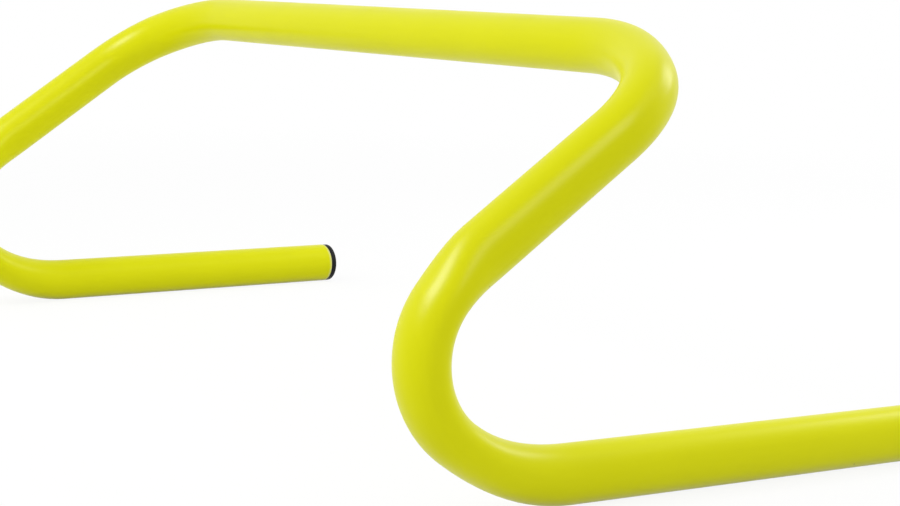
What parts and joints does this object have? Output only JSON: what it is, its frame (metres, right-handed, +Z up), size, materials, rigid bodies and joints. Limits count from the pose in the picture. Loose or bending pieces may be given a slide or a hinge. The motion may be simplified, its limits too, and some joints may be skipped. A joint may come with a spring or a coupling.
{
  "type": "speed hurdle",
  "caption": "Low training hurdle of bent plastic tube: a raised crossbar on sloping legs that turn back along the floor as feet, with a domed plug in each tube end.",
  "frame": {"origin": "on the floor, in the middle of the space that the hurdle takes up there", "axes": "+X along the crossbar, +Y along the feet from the heels to the tube ends, +Z up"},
  "size_m": [0.4644, 0.2214, 0.155],
  "materials": {
    "tube_plastic": "smooth extruded tube in bright yellow, with a soft shine",
    "plug_plastic": "black moulded plastic, satin"
  },
  "bodies": {
    "root": {"tube": "tube_plastic", "left_end_plug": "plug_plastic", "right_end_plug": "plug_plastic"}
  },
  "joints": []
}
